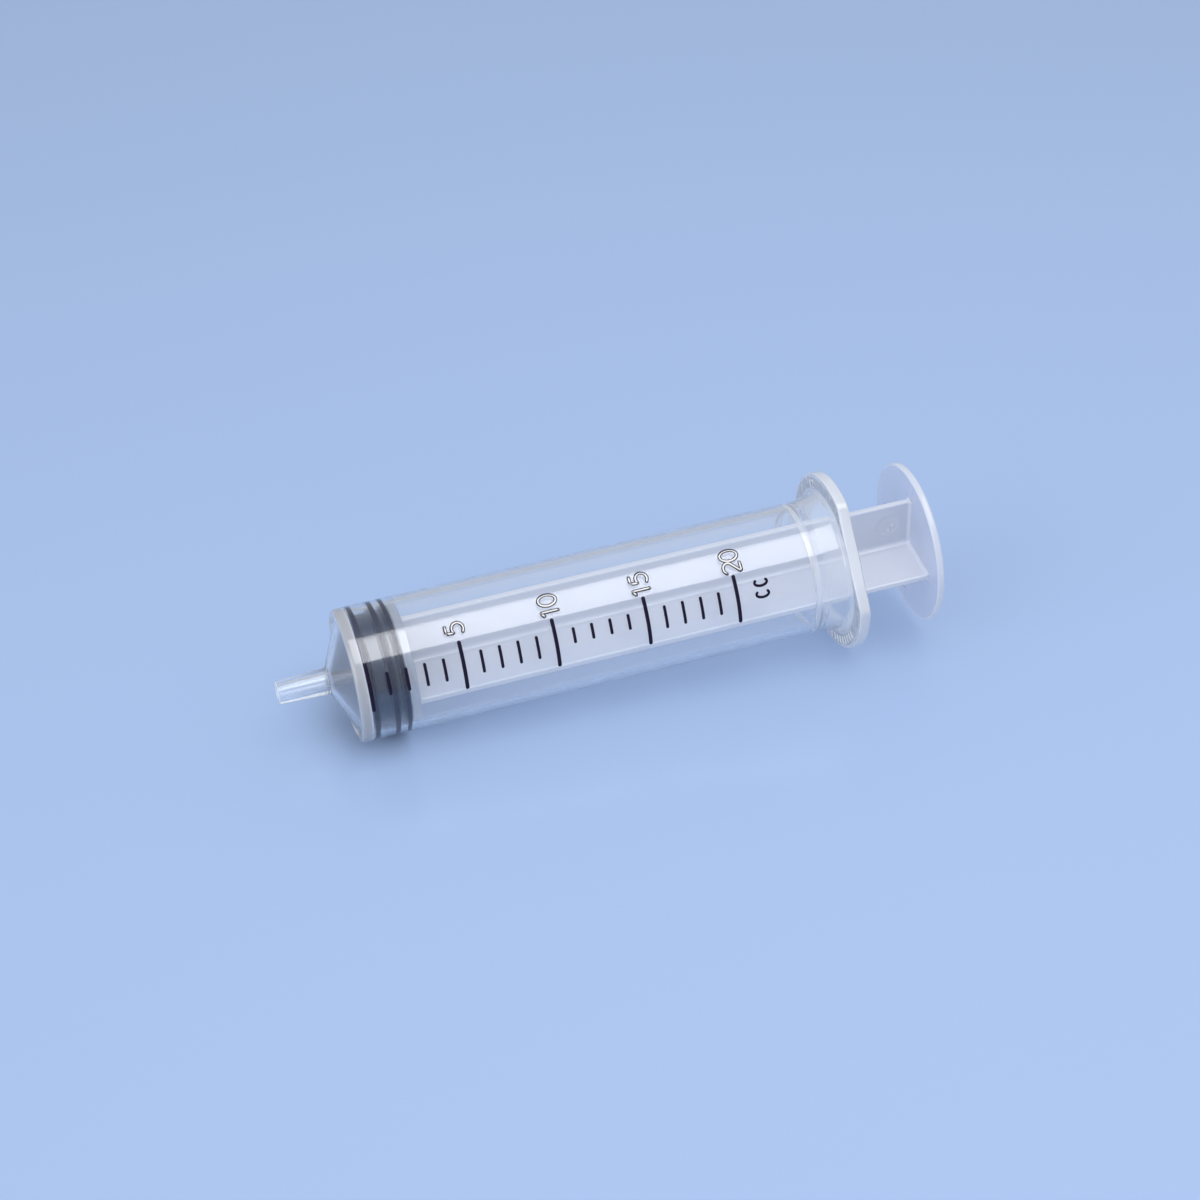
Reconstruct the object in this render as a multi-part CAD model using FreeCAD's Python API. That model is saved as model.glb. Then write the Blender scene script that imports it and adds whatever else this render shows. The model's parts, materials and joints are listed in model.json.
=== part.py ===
# Luer slip syringe for 20 mL: a clear moulded barrel with its printed scale, a rubber
# stopper, and a moulded plunger rod with a cross-shaped section.
#
# Every piece is drawn along its own axis first, which is X: the zero line of the scale is
# at x = 0, the luer tip points to -X and the thumb disc to +X. Angles about the axis are
# measured from -Y, the way that one flat of the finger flange faces, towards -Z.
# The finished syringe is then laid on the floor as it comes to rest, on the front edge of
# its barrel and on the rim of its flange, with the middle of its footprint at the origin.
import FreeCAD, Part
import math
import os

# Capacity and bore: the pitch of the scale follows from them
capacity_ml = 20
bore_diameter = 20.2
barrel_wall = 1.09

# Luer slip tip, a male cone with the standard 6 percent taper on its diameter
tip_end_diameter = 3.96
luer_taper = 0.06
tip_length = 8.5
tip_bore_diameter = 2.2
tip_edge_bevel = 0.2
tip_root_bevel = 0.3

# Nose: a shallow cone that closes the front of the barrel, inside a low raised rim
tip_root_to_zero = 5.2
nose_slope = 24.3
nose_wall = 1.2
nose_rim_to_zero = 2.2
nose_rim_width = 0.95
nose_rim_slope = 0.4
nose_corner_round = 0.65
nose_inner_bevel = 0.4

# Rear of the barrel: stop bead inside, flared mouth and finger flange
zero_to_stop_bead = 76.6
stop_bead_width = 1.3
stop_bead_height = 0.35
stop_bead_slope = 0.4
zero_to_mouth = 78.1
mouth_flare = 0.65
mouth_lead_in = 0.75
zero_to_flange = 81.9
collar_height = 0.6
collar_root_slope = 0.7
flange_diameter = 30.5
flange_width = 24.6
flange_thickness = 2.0
flange_edge_bevel = 0.35

# Grip ridges on the front face of one wing of the flange
ridge_count = 9
ridge_spread = 46.0
ridge_width = 0.6
ridge_height = 0.28
ridge_end_margin = 0.7

# Stopper: three sealing ribs that run in the bore, and a socket for the rod's knob
stopper_clearance = 0.05
nose_clearance = 0.3
rib_width = 0.95
second_rib_start = 3.4
third_rib_start = 5.4
groove_depth = 0.55
groove_slope = 0.25
shoulder_depth = 0.5
stopper_apex_radius = 1.6

# Plunger rod
knob_radius = 3.9
knob_neck_radius = 2.7
knob_length = 4.6
knob_neck_length = 1.6
knob_front_chamfer = 1.1
knob_clearance = 0.1
front_disc_thickness = 1.5
front_disc_clearance = 0.15
fin_to_bead_gap = 0.25
fin_edge_thickness = 1.0
fin_root_thickness = 1.5
fin_root_round = 0.7
fin_foot_height = 0.45
zero_to_thumb_disc = 96.5
thumb_disc_diameter = 27.3
thumb_disc_thickness = 1.25
thumb_disc_edge_bevel = 0.3
ejector_mark_radius = 2.1
ejector_mark_depth = 0.12
ejector_mark_from_disc = 4.1
ejector_mark_from_axis = 5.4
seat_gap = 0.1

# Printed scale
ink_thickness = 0.04
long_line_length = 8.2
short_line_length = 3.7
clipped_line_length = 2.55
long_line_width = 0.6
short_line_width = 0.45
long_line_every = 5
clipped_lines = (11, 12, 13, 14)
short_line_inset = 2.25

# Turns about the axis, in degrees from one flat of the flange
scale_turn = 10.4
fins_turn = 40.5
rest_turn = -34.2

# Radii and stations that follow from the sizes above
bore_radius = bore_diameter / 2
barrel_radius = bore_radius + barrel_wall
flange_radius = flange_diameter / 2
thumb_disc_radius = thumb_disc_diameter / 2
tip_end_radius = tip_end_diameter / 2
tip_bore_radius = tip_bore_diameter / 2
cubic_mm_per_ml = 1000.0
scale_pitch = cubic_mm_per_ml / (math.pi * bore_radius ** 2)

nose_rise = math.tan(math.radians(nose_slope))
nose_rim_x = -nose_rim_to_zero
nose_rim_radius = barrel_radius - nose_rim_width
tip_root_radius = tip_end_radius + tip_length * luer_taper / 2
tip_root_x = -tip_root_to_zero
tip_end_x = tip_root_x - tip_length
nose_wall_along_axis = nose_wall / math.cos(math.radians(nose_slope))
stopper_gap_along_axis = nose_clearance / math.cos(math.radians(nose_slope))

stopper_radius = bore_radius - stopper_clearance
stopper_rear_x = third_rib_start + rib_width
front_disc_x = stopper_rear_x + seat_gap
front_disc_radius = bore_radius - front_disc_clearance
fins_x = front_disc_x + front_disc_thickness
fin_radius = bore_radius - stop_bead_height - fin_to_bead_gap
thumb_disc_x = zero_to_thumb_disc
flange_rear_x = zero_to_flange + flange_thickness
syringe_axis = FreeCAD.Vector(1, 0, 0)
axis_origin = FreeCAD.Vector(0, 0, 0)
full_turn = 360.0


def nose_outside_x(radius):
    """Where the outer face of the nose cone lies at a radius."""
    return tip_root_x + (radius - tip_root_radius) * nose_rise


def nose_inside_x(radius):
    """Where the inner face of the nose cone lies at a radius."""
    return nose_outside_x(radius) + nose_wall_along_axis


def stopper_front_x(radius):
    """Where the cone on the front of the stopper lies at a radius."""
    return nose_inside_x(radius) + stopper_gap_along_axis


def at(x, radius):
    """A point of a half profile, at a station on the axis and a radius."""
    return FreeCAD.Vector(x, radius, 0)


def unit(vector):
    """The same direction with length 1."""
    length = vector.Length
    return FreeCAD.Vector(vector.x / length, vector.y / length, vector.z / length)


def corner_arc(before, corner, after, radius):
    """The arc that rounds a corner of a profile, as its start, middle and end points."""
    back = unit(before - corner)
    ahead = unit(after - corner)
    half_angle = back.getAngle(ahead) / 2
    setback = radius / math.tan(half_angle)
    to_centre = unit(back + ahead)
    centre = corner + to_centre * (radius / math.sin(half_angle))
    return corner + back * setback, centre - to_centre * radius, corner + ahead * setback


def bevelled(before, corner, after, size):
    """The two points that cut a corner of a profile off, each at this distance from it."""
    return [
        (corner + unit(before - corner) * size, 0),
        (corner + unit(after - corner) * size, 0),
    ]


def profile_face(points):
    """A closed face from (point, rounding radius) pairs, with each corner rounded."""
    edges = []
    count = len(points)
    arcs = []
    for index, (corner, radius) in enumerate(points):
        before = points[index - 1][0]
        after = points[(index + 1) % count][0]
        if radius > 0:
            arcs.append(corner_arc(before, corner, after, radius))
        else:
            arcs.append((corner, None, corner))
    for index, (start, middle, end) in enumerate(arcs):
        if middle is not None:
            edges.append(Part.Arc(start, middle, end).toShape())
        next_start = arcs[(index + 1) % count][0]
        if end.distanceToPoint(next_start) > 1e-6:
            edges.append(Part.LineSegment(end, next_start).toShape())
    return Part.Face(Part.Wire(edges))


def turned(points):
    """The solid that a rounded half profile sweeps in a full turn about the axis."""
    return profile_face(points).revolve(axis_origin, syringe_axis, full_turn)


def barrel_tube():
    """Tip, nose and its rim, tube, stop bead and flared mouth as one turned shell."""
    bead_start = zero_to_stop_bead - stop_bead_width / 2
    bead_end = zero_to_stop_bead + stop_bead_width / 2
    bead_radius = bore_radius - stop_bead_height
    flare_end_x = flange_rear_x - mouth_lead_in
    flare_radius = bore_radius + mouth_flare
    collar_radius = barrel_radius + collar_height
    tip_mouth = at(tip_end_x, tip_bore_radius)
    tip_corner = at(tip_end_x, tip_end_radius)
    tip_root = at(tip_root_x, tip_root_radius)
    rim_foot_radius = nose_rim_radius - nose_rim_slope
    rim_foot = at(nose_outside_x(rim_foot_radius), rim_foot_radius)
    bead_foot = at(bead_start, bore_radius)
    bore_corner = at(nose_inside_x(bore_radius), bore_radius)
    tip_bore_end = at(nose_inside_x(tip_bore_radius), tip_bore_radius)
    points = [
        (tip_mouth, 0),
        *bevelled(tip_mouth, tip_corner, tip_root, tip_edge_bevel),
        *bevelled(tip_corner, tip_root, rim_foot, tip_root_bevel),
        (rim_foot, 0),
        (at(nose_rim_x, nose_rim_radius), 0),
        (at(nose_rim_x, barrel_radius), nose_corner_round),
        (at(zero_to_mouth, barrel_radius), 0),
        (at(zero_to_flange - collar_root_slope, collar_radius), 0),
        (at(zero_to_flange, collar_radius + collar_root_slope), 0),
        (at(flange_rear_x, collar_radius + collar_root_slope), 0),
        (at(flange_rear_x, flare_radius + mouth_lead_in), 0),
        (at(flare_end_x, flare_radius), 0),
        (at(zero_to_mouth, bore_radius), 0),
        (at(bead_end, bore_radius), 0),
        (at(bead_end - stop_bead_slope, bead_radius), 0),
        (at(bead_start + stop_bead_slope, bead_radius), 0),
        (bead_foot, 0),
        *bevelled(bead_foot, bore_corner, tip_bore_end, nose_inner_bevel),
        (tip_bore_end, 0),
    ]
    return turned(points)


def bevelled_disc(front_x, rear_x, radius, bevel):
    """A flat round plate across the axis with both its edges bevelled."""
    front_corner = at(front_x, radius)
    rear_corner = at(rear_x, radius)
    front_centre = at(front_x, 0)
    rear_centre = at(rear_x, 0)
    return turned([
        (front_centre, 0),
        *bevelled(front_centre, front_corner, rear_corner, bevel),
        *bevelled(front_corner, rear_corner, rear_centre, bevel),
        (rear_centre, 0),
    ])


def flange_plate():
    """Finger flange: a disc with two flats, its edges bevelled all the way round."""
    disc = bevelled_disc(zero_to_flange, flange_rear_x, flange_radius, flange_edge_bevel)
    half_width = flange_width / 2
    corners = [
        FreeCAD.Vector(zero_to_flange, -half_width, -flange_radius),
        FreeCAD.Vector(zero_to_flange, half_width, -flange_radius),
        FreeCAD.Vector(flange_rear_x, half_width, -flange_radius),
        FreeCAD.Vector(flange_rear_x, -half_width, -flange_radius),
    ]
    outline = []
    for index, corner in enumerate(corners):
        after = corners[(index + 1) % len(corners)]
        outline += bevelled(corners[index - 1], corner, after, flange_edge_bevel)
    bar = profile_face(outline).extrude(FreeCAD.Vector(0, 0, flange_diameter))
    return disc.common(bar)


def grip_ridges():
    """Radial ridges on the front face of the wing that points to -Z."""
    inner = barrel_radius + collar_height + collar_root_slope + ridge_end_margin / 2
    outer = flange_radius - ridge_end_margin
    root_x = zero_to_flange + ridge_height
    section = Part.makePolygon([
        FreeCAD.Vector(root_x, -ridge_width, -inner),
        FreeCAD.Vector(zero_to_flange - ridge_height, 0, -inner),
        FreeCAD.Vector(root_x, ridge_width, -inner),
        FreeCAD.Vector(root_x, -ridge_width, -inner),
    ])
    ridges = []
    step = ridge_spread / (ridge_count - 1)
    for index in range(ridge_count):
        ridge = Part.Face(section).extrude(FreeCAD.Vector(0, 0, inner - outer))
        ridge.rotate(axis_origin, syringe_axis, index * step - ridge_spread / 2)
        ridges.append(ridge)
    return ridges


def make_barrel():
    """The barrel, moulded in one piece."""
    flange = flange_plate().fuse(grip_ridges())
    room_for_mouth = Part.makeCylinder(
        bore_radius + mouth_flare + mouth_lead_in, flange_thickness + ridge_height * 2,
        FreeCAD.Vector(zero_to_flange - ridge_height * 2, 0, 0), syringe_axis)
    return barrel_tube().fuse(flange.cut(room_for_mouth)).removeSplitter()


def make_stopper():
    """The rubber stopper, turned: front cone, three ribs and the knob's socket."""
    groove_radius = stopper_radius - groove_depth
    shoulder_radius = stopper_radius - shoulder_depth
    shoulder_x = stopper_front_x(shoulder_radius)
    socket_radius = knob_radius + knob_clearance
    neck_radius = knob_neck_radius + knob_clearance
    socket_rear_x = front_disc_x - knob_neck_length + knob_clearance
    socket_front_x = front_disc_x - knob_length - knob_clearance
    points = [
        (at(stopper_front_x(0) + stopper_apex_radius * nose_rise, 0), 0),
        (at(stopper_front_x(stopper_apex_radius), stopper_apex_radius), 0),
        (at(shoulder_x, shoulder_radius), 0),
        (at(0, stopper_radius), 0),
        (at(rib_width, stopper_radius), 0),
        (at(rib_width + groove_slope, groove_radius), 0),
        (at(second_rib_start - groove_slope, groove_radius), 0),
        (at(second_rib_start, stopper_radius), 0),
        (at(second_rib_start + rib_width, stopper_radius), 0),
        (at(second_rib_start + rib_width + groove_slope, groove_radius), 0),
        (at(third_rib_start - groove_slope, groove_radius), 0),
        (at(third_rib_start, stopper_radius), 0),
        (at(stopper_rear_x, stopper_radius), 0),
        (at(stopper_rear_x, neck_radius), 0),
        (at(socket_rear_x, neck_radius), 0),
        (at(socket_rear_x, socket_radius), 0),
        (at(socket_front_x + knob_front_chamfer, socket_radius), 0),
        (at(socket_front_x, socket_radius - knob_front_chamfer), 0),
        (at(socket_front_x, 0), 0),
    ]
    return turned(points)


def cross_wire(x, growth):
    """Outline of the cross-shaped section at a station, each face moved out by growth."""
    edge_half = fin_edge_thickness / 2 + growth
    radius = fin_radius + growth
    reach = math.sqrt(radius ** 2 - edge_half ** 2)
    slope = (fin_root_thickness - fin_edge_thickness) / 2 / reach
    slant = math.sqrt(1 + slope ** 2)
    centre = (edge_half + slope * reach + fin_root_round * slant) / (1 + slope)
    near = centre - fin_root_round * slope / slant
    far = centre - fin_root_round / slant
    middle = centre - fin_root_round / math.sqrt(2)
    edges = []
    for quarter in range(4):
        turn = FreeCAD.Rotation(syringe_axis, 90.0 * quarter)
        tip = turn.multVec(FreeCAD.Vector(x, reach, edge_half))
        root_start = turn.multVec(FreeCAD.Vector(x, near, far))
        root_middle = turn.multVec(FreeCAD.Vector(x, middle, middle))
        root_end = turn.multVec(FreeCAD.Vector(x, far, near))
        next_tip = turn.multVec(FreeCAD.Vector(x, edge_half, reach))
        next_middle = turn.multVec(FreeCAD.Vector(x, 0, radius))
        next_end = turn.multVec(FreeCAD.Vector(x, -edge_half, reach))
        edges.append(Part.LineSegment(tip, root_start).toShape())
        edges.append(Part.Arc(root_start, root_middle, root_end).toShape())
        edges.append(Part.LineSegment(root_end, next_tip).toShape())
        edges.append(Part.Arc(next_tip, next_middle, next_end).toShape())
    return Part.Wire(edges)


def ejector_mark():
    """Shallow round recess that an ejector pin leaves on the face of one fin."""
    face_slope = (fin_root_thickness - fin_edge_thickness) / 2 / fin_radius
    half = fin_edge_thickness / 2 + face_slope * (fin_radius - ejector_mark_from_axis)
    start = FreeCAD.Vector(
        thumb_disc_x - ejector_mark_from_disc, ejector_mark_depth - half,
        ejector_mark_from_axis)
    return Part.makeCylinder(
        ejector_mark_radius, fin_edge_thickness, start, FreeCAD.Vector(0, -1, 0))


def make_plunger_rod():
    """Knob, front disc, cross-shaped rod and thumb disc, moulded in one piece."""
    knob_front_x = front_disc_x - knob_length
    head_rear_x = front_disc_x - knob_neck_length
    knob_and_disc = turned([
        (at(knob_front_x, 0), 0),
        (at(knob_front_x, knob_radius - knob_front_chamfer), 0),
        (at(knob_front_x + knob_front_chamfer, knob_radius), 0),
        (at(head_rear_x, knob_radius), 0),
        (at(head_rear_x, knob_neck_radius), 0),
        (at(front_disc_x, knob_neck_radius), 0),
        (at(front_disc_x, front_disc_radius), 0),
        (at(fins_x, front_disc_radius), 0),
        (at(fins_x, 0), 0),
    ])
    thumb_disc = bevelled_disc(
        thumb_disc_x, thumb_disc_x + thumb_disc_thickness, thumb_disc_radius,
        thumb_disc_edge_bevel)
    foot_x = thumb_disc_x - fin_foot_height
    fins = Part.Face(cross_wire(fins_x, 0)).extrude(FreeCAD.Vector(foot_x - fins_x, 0, 0))
    foot = Part.makeLoft([cross_wire(foot_x, 0), cross_wire(thumb_disc_x, fin_foot_height)],
                         True, True)
    rod = fins.fuse([foot, knob_and_disc, thumb_disc]).removeSplitter()
    return rod.cut(ejector_mark())


def line_solid(x, width, length, start):
    """One printed line: a film of ink on the barrel, start and length along its skin."""
    degrees_per_mm = math.degrees(1 / barrel_radius)
    outline = Part.makePolygon([
        at(x - width / 2, barrel_radius),
        at(x + width / 2, barrel_radius),
        at(x + width / 2, barrel_radius + ink_thickness),
        at(x - width / 2, barrel_radius + ink_thickness),
        at(x - width / 2, barrel_radius),
    ])
    line = Part.Face(outline).revolve(axis_origin, syringe_axis, length * degrees_per_mm)
    line.rotate(axis_origin, syringe_axis, 180.0 + scale_turn + start * degrees_per_mm)
    return line


def make_scale_marks():
    """The scale's lines, one for each millilitre, longer at every fifth."""
    long_start = -long_line_length / 2
    short_start = long_start + short_line_inset
    lines = []
    for millilitre in range(capacity_ml + 1):
        x = millilitre * scale_pitch
        if millilitre % long_line_every == 0:
            lines.append(line_solid(x, long_line_width, long_line_length, long_start))
        elif millilitre in clipped_lines:
            lines.append(line_solid(x, short_line_width, clipped_line_length, short_start))
        else:
            lines.append(line_solid(x, short_line_width, short_line_length, short_start))
    return Part.makeCompound(lines)


def rest_placement():
    """How the syringe lies: tilted on two edges, with its footprint about the origin.

    The floor touches the rounded front corner of the barrel, an edge circle whose middle
    lies front_drop from the axis, and the bevelled front edge of the flange. The tilt is
    that of the line from the flange's edge that is tangent to the circle.
    """
    front_x = nose_rim_x + nose_corner_round
    front_drop = barrel_radius - nose_corner_round
    flange_x = zero_to_flange + flange_edge_bevel
    across = math.hypot(flange_x - front_x, flange_radius - front_drop)
    tilt = math.atan2(flange_radius - front_drop, flange_x - front_x)
    tilt -= math.asin(nose_corner_round / across)
    lift = flange_radius * math.cos(tilt) - flange_x * math.sin(tilt)

    disc_rear_x = thumb_disc_x + thumb_disc_thickness
    rear = disc_rear_x * math.cos(tilt)
    rear += (thumb_disc_radius - thumb_disc_edge_bevel) * math.sin(tilt)
    front = tip_end_x * math.cos(tilt) - (tip_end_radius - tip_edge_bevel) * math.sin(tilt)

    turn = FreeCAD.Rotation(syringe_axis, rest_turn)
    lean = FreeCAD.Rotation(FreeCAD.Vector(0, 1, 0), -math.degrees(tilt))
    middle = (front + rear) / 2
    return FreeCAD.Placement(FreeCAD.Vector(-middle, 0, lift), lean.multiply(turn))


def laid_down(shape):
    """A copy of the shape as it lies on the floor."""
    moved = shape.copy()
    moved.Placement = rest_placement().multiply(moved.Placement)
    return moved


rod = make_plunger_rod()
rod.rotate(axis_origin, syringe_axis, fins_turn)
nodes = {
    "barrel": make_barrel(),
    "scale_marks": make_scale_marks(),
    "stopper": make_stopper(),
    "plunger_rod": rod,
}

os.makedirs("parts", exist_ok=True)
for name, shape in nodes.items():
    laid_down(shape).exportStep("parts/" + name + ".step")
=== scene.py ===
"""Looks for a 20 mL luer slip syringe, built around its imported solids.

The syringe's own axis is X while its pieces are drawn, in millimetres: the scale's zero
line is at x = 0, the luer tip points to -X and the thumb disc to +X. Turns about the axis
are measured from -Y towards -Z. Each finished mesh is then laid on the floor in metres,
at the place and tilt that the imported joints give.
"""

import json
import logging
import math
from dataclasses import dataclass, field
from enum import IntEnum
from typing import Callable, NamedTuple, Optional, Sequence

import bmesh
import bpy
import numpy as np
from mathutils import Matrix, Quaternion, Vector


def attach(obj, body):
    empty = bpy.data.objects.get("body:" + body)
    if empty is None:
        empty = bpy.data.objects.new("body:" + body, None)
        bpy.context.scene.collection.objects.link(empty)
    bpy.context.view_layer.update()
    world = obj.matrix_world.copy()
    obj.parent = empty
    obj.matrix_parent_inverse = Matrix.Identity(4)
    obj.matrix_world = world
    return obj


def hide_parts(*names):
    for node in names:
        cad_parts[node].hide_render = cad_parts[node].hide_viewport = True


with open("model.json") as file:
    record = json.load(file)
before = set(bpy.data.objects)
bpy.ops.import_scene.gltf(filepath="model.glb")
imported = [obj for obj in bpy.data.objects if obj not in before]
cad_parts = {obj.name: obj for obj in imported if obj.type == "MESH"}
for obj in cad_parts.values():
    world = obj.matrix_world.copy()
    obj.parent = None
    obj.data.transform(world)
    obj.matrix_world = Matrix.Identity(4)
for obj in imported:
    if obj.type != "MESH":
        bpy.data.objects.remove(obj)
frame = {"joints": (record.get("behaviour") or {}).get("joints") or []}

log = logging.getLogger("syringe")
MM = 0.001
FULL_TURN = 2.0 * math.pi


class Corner(NamedTuple):
    """A corner of a half profile: its station, its radius from the axis and its rounding."""

    x: float
    r: float
    rounding: float = 0.0


class Grade(IntEnum):
    """The grades of plastic in the barrel, numbered as its materials are. MOUTH's whiter
    plastic is a painted highlight, and THICK on the ridge tops a painted glint.
    """

    WALL = 0
    OILED = 1
    NOSE = 2
    RIM = 3
    WING = 4
    THICK = 5
    MOUTH = 6


class RodGrade(IntEnum):
    """The grades of plastic in the plunger rod, numbered as its materials are. EDGE is partly
    a painted highlight.
    """

    MILKY = 0
    EDGE = 1
    DISC = 2
    CLEAR = 3


class InkGrade(IntEnum):
    """The parts of a printed numeral, numbered as its materials are. EDGE is a painted shade
    outline.
    """

    EDGE = 0
    TOP = 1


# Shapes as arrays


def rounded_run(corners: Sequence[Corner], closed: bool, steps: int = 6,
                hold: float = 0.12) -> np.ndarray:
    """Rounds the corners of a polyline.

    Each corner becomes an arc tangent to its two runs: its centre lies on the bisector at
    radius over the sine of half the angle. A point is added at a short hold before and
    after each arc, so that smooth shading bends only there.

    Args:
        corners: The polyline's corners in order.
        closed: Whether the last corner runs back to the first.
        steps: Points along each arc, less one.
        hold: Distance of the holding points from the arcs, in mm.

    Returns:
        Points of the rounded line, one row each, as (x, r).
    """
    count = len(corners)
    places = np.array([(c.x, c.r) for c in corners])
    pieces = []
    for index, corner in enumerate(corners):
        inner = closed or 0 < index < count - 1
        if not inner or corner.rounding <= 0.0:
            pieces.append(places[index][None, :])
            continue
        back = places[index - 1] - places[index]
        ahead = places[(index + 1) % count] - places[index]
        back_length, ahead_length = np.linalg.norm(back), np.linalg.norm(ahead)
        back, ahead = back / back_length, ahead / ahead_length
        half = 0.5 * math.acos(float(np.clip(back @ ahead, -1.0, 1.0)))
        setback = corner.rounding / math.tan(half)
        middle = (back + ahead) / np.linalg.norm(back + ahead)
        centre = places[index] + middle * corner.rounding / math.sin(half)
        sweep = math.pi / 2 - half
        turn = np.linspace(-sweep, sweep, steps + 1)
        along = (ahead - back) / np.linalg.norm(ahead - back)
        arc = centre + corner.rounding * (np.outer(np.sin(turn), along)
                                          - np.outer(np.cos(turn), middle))
        held = [arc]
        if back_length > setback + 2.5 * hold:
            held.insert(0, (places[index] + back * (setback + hold))[None, :])
        if ahead_length > setback + 2.5 * hold:
            held.append((places[index] + ahead * (setback + hold))[None, :])
        pieces.append(np.concatenate(held))
    return np.concatenate(pieces)


def around(x: np.ndarray, radius: np.ndarray, turn: np.ndarray) -> np.ndarray:
    """Points at stations, radii and turns about the axis: (x, -r cos turn, -r sin turn)."""
    x, radius, turn = np.broadcast_arrays(x, radius, turn)
    return np.stack([x, -radius * np.cos(turn), -radius * np.sin(turn)], axis=-1)


def grid_faces(rows: int, columns: int, wrap_rows: bool, wrap_columns: bool) -> np.ndarray:
    """Four-cornered faces of a grid of points.

    Args:
        rows: Number of rows.
        columns: Number of points in each row.
        wrap_rows: Whether the last row joins the first.
        wrap_columns: Whether the last point of each row joins the first.

    Returns:
        Corner indices, one face in each row of the array.
    """
    i = np.arange(rows if wrap_rows else rows - 1)
    j = np.arange(columns if wrap_columns else columns - 1)
    i, j = (part.ravel() for part in np.meshgrid(i, j, indexing="ij"))
    i_next, j_next = (i + 1) % rows, (j + 1) % columns
    return np.stack([i * columns + j, i * columns + j_next,
                     i_next * columns + j_next, i_next * columns + j], axis=-1)


@dataclass
class Surface:
    """Points in mm and faces of one or more closed forms, gathered into one mesh."""

    points: list = field(default_factory=list)
    faces: list = field(default_factory=list)
    total: int = 0

    def add(self, grid: np.ndarray, wrap_rows: bool = False, wrap_columns: bool = True,
            caps: bool = False) -> None:
        """Adds a grid of points.

        Args:
            grid: Points as an array of rows, columns and the three coordinates.
            wrap_rows: Whether the last row joins the first.
            wrap_columns: Whether each row is a ring.
            caps: Whether the first and last rings are closed to their middle points.
        """
        rows, columns = grid.shape[:2]
        if caps:
            first = np.broadcast_to(grid[:1].mean(axis=1, keepdims=True), (1, columns, 3))
            last = np.broadcast_to(grid[-1:].mean(axis=1, keepdims=True), (1, columns, 3))
            grid = np.concatenate([first, grid, last])
            rows += 2
        self.points.append(grid.reshape(-1, 3))
        self.faces.append(grid_faces(rows, columns, wrap_rows, wrap_columns) + self.total)
        self.total += rows * columns

    def piece(self, name: str, place: Matrix, finishes: Sequence[bpy.types.Material],
              choose: Optional[Callable[[np.ndarray], np.ndarray]] = None
              ) -> bpy.types.Object:
        """Makes the Blender object, laid in its place, smooth and with outward faces.

        Points that fall together, at poles and seams, are merged first.

        Args:
            name: The piece's name.
            place: The matrix from the syringe's own millimetres to the room.
            finishes: The piece's materials.
            choose: Gives each face's material number from the faces' middles in mm.

        Returns:
            The new object, at the origin, with its place in its mesh.
        """
        mesh = bpy.data.meshes.new(name)
        mesh.from_pydata(np.concatenate(self.points).tolist(), [],
                         np.concatenate(self.faces).tolist())
        work = bmesh.new()
        work.from_mesh(mesh)
        bmesh.ops.remove_doubles(work, verts=work.verts, dist=1e-5)
        bmesh.ops.recalc_face_normals(work, faces=work.faces)
        work.to_mesh(mesh)
        work.free()
        for finish in finishes:
            mesh.materials.append(finish)
        if choose is not None:
            middles = np.empty(len(mesh.polygons) * 3)
            mesh.polygons.foreach_get("center", middles)
            mesh.polygons.foreach_set("material_index", choose(middles.reshape(-1, 3)))
        mesh.transform(place)
        mesh.polygons.foreach_set("use_smooth", np.ones(len(mesh.polygons), bool))
        mesh.update()
        piece = bpy.data.objects.new(name, mesh)
        bpy.context.scene.collection.objects.link(piece)
        log.info("%s: %d faces", name, len(mesh.polygons))
        return piece


def syringe_place() -> Matrix:
    """Where the syringe lies, from the hinge of the rod on the axis at the zero line.

    Returns:
        The matrix from the syringe's own millimetres to the room's metres.
    """
    hinge = next(j for j in frame["joints"] if j["name"] == "rod_turn")
    axis = Vector(hinge["axis"])
    tilt = math.atan2(axis.z, axis.x)
    turn = Matrix.Rotation(math.radians(REST_TURN), 4, "X")
    lean = Matrix.Rotation(-tilt, 4, "Y")
    return Matrix.Translation(hinge["pos_m"]) @ lean @ turn @ Matrix.Scale(MM, 4)


# Sizes that several pieces share, in mm and degrees
REST_TURN = -34.2
BORE_RADIUS = 10.1
BARREL_RADIUS = 11.189
TIP_ROOT_X = -5.2
TIP_ROOT_RADIUS = 2.235
NOSE_SLOPE = math.radians(24.3)
NOSE_WALL_X = 1.2 / math.cos(NOSE_SLOPE)
STOPPER_REAR_X = 6.35


def nose_x(radius: float) -> float:
    """Where the outer face of the nose cone lies at a radius."""
    return TIP_ROOT_X + (radius - TIP_ROOT_RADIUS) * math.tan(NOSE_SLOPE)


CAP_STEPS = 6
RIBBON_ACROSS = np.array([-1.0, -0.5, 0.5, 1.0, 0.5, -0.5])
RIBBON_UP = np.array([0.0, 1.0, 1.0, 0.0, -0.3, -0.3])


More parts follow.
